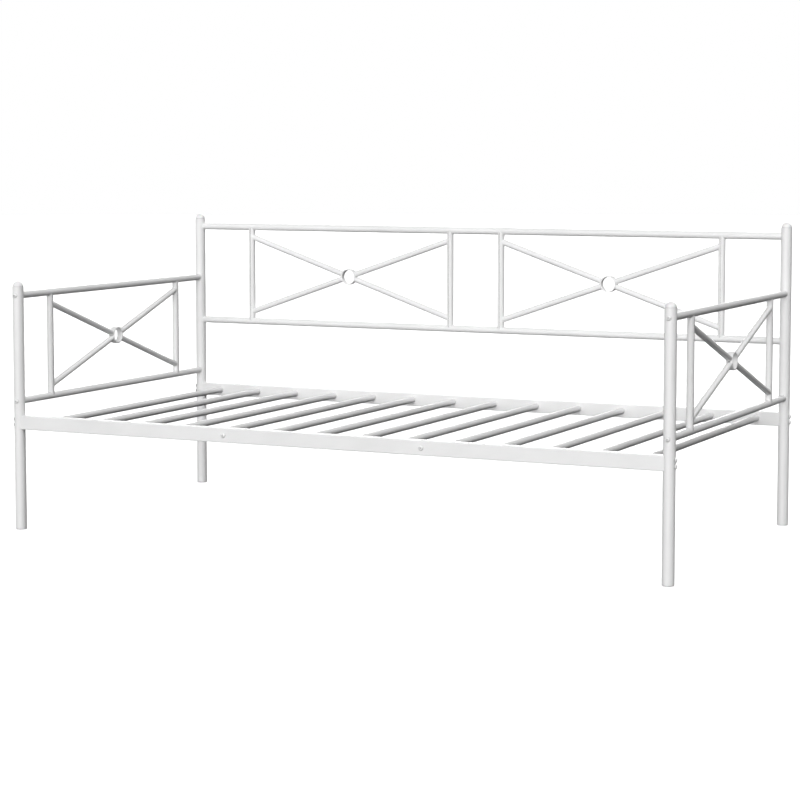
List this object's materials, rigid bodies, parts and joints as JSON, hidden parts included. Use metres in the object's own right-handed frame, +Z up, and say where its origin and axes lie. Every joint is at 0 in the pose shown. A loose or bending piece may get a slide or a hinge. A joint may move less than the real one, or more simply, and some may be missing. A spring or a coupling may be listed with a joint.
{
  "type": "daybed",
  "caption": "Metal daybed of round tubes: taller back frame and side panels with crossed diagonals and rings, flat bed rails and round slats.",
  "frame": {"origin": "on the floor, under the middle of the bed", "axes": "+Z up, +X along the bed's length, +Y from the open front towards the tall back"},
  "size_m": [1.9908, 1.0538, 0.877],
  "materials": {
    "frame_enamel": "white powder coat, satin, with a fine orange peel",
    "rail_enamel": "white powder coat, satin, with a fine orange peel",
    "slat_enamel": "white powder coat, satin, with a fine orange peel",
    "bolt_enamel": "white enamelled button head bolts, semi-gloss",
    "cap_plastic": "white moulded plastic, satin",
    "foot_plastic": "white moulded plastic, matt",
    "zinc_steel": "zinc plated steel"
  },
  "bodies": {
    "root": {"front_left_post": "frame_enamel", "front_right_post": "frame_enamel", "rear_left_post": "frame_enamel", "rear_right_post": "frame_enamel", "front_left_post_cap": "cap_plastic", "front_right_post_cap": "cap_plastic", "rear_left_post_cap": "cap_plastic", "rear_right_post_cap": "cap_plastic", "front_left_foot": "foot_plastic", "front_right_foot": "foot_plastic", "rear_left_foot": "foot_plastic", "rear_right_foot": "foot_plastic", "back_top_rail": "frame_enamel", "back_lower_rail": "frame_enamel", "back_outer_left_upright": "frame_enamel", "back_inner_left_upright": "frame_enamel", "back_inner_right_upright": "frame_enamel", "back_outer_right_upright": "frame_enamel", "back_left_diagonals": "frame_enamel", "back_right_diagonals": "frame_enamel", "back_left_ring": "frame_enamel", "back_right_ring": "frame_enamel", "left_panel_top_rail": "frame_enamel", "left_panel_lower_rail": "frame_enamel", "left_panel_front_upright": "frame_enamel", "left_panel_rear_upright": "frame_enamel", "left_panel_diagonals": "frame_enamel", "left_panel_ring": "frame_enamel", "right_panel_top_rail": "frame_enamel", "right_panel_lower_rail": "frame_enamel", "right_panel_front_upright": "frame_enamel", "right_panel_rear_upright": "frame_enamel", "right_panel_diagonals": "frame_enamel", "right_panel_ring": "frame_enamel", "front_bed_rail": "rail_enamel", "rear_bed_rail": "rail_enamel", "slat_01": "slat_enamel", "slat_02": "slat_enamel", "slat_03": "slat_enamel", "slat_04": "slat_enamel", "slat_05": "slat_enamel", "slat_06": "slat_enamel", "slat_07": "slat_enamel", "slat_08": "slat_enamel", "slat_09": "slat_enamel", "slat_10": "slat_enamel", "slat_11": "slat_enamel", "slat_12": "slat_enamel", "slat_13": "slat_enamel", "slat_14": "slat_enamel", "front_panel_bolts": "bolt_enamel", "rear_panel_bolts": "bolt_enamel", "bed_rail_bolts": "bolt_enamel", "rail_fixing_screws": "bolt_enamel", "bed_rail_end_blocks": "zinc_steel", "panel_rail_inserts": "zinc_steel", "rail_fixing_nuts": "zinc_steel"}
  },
  "joints": []
}
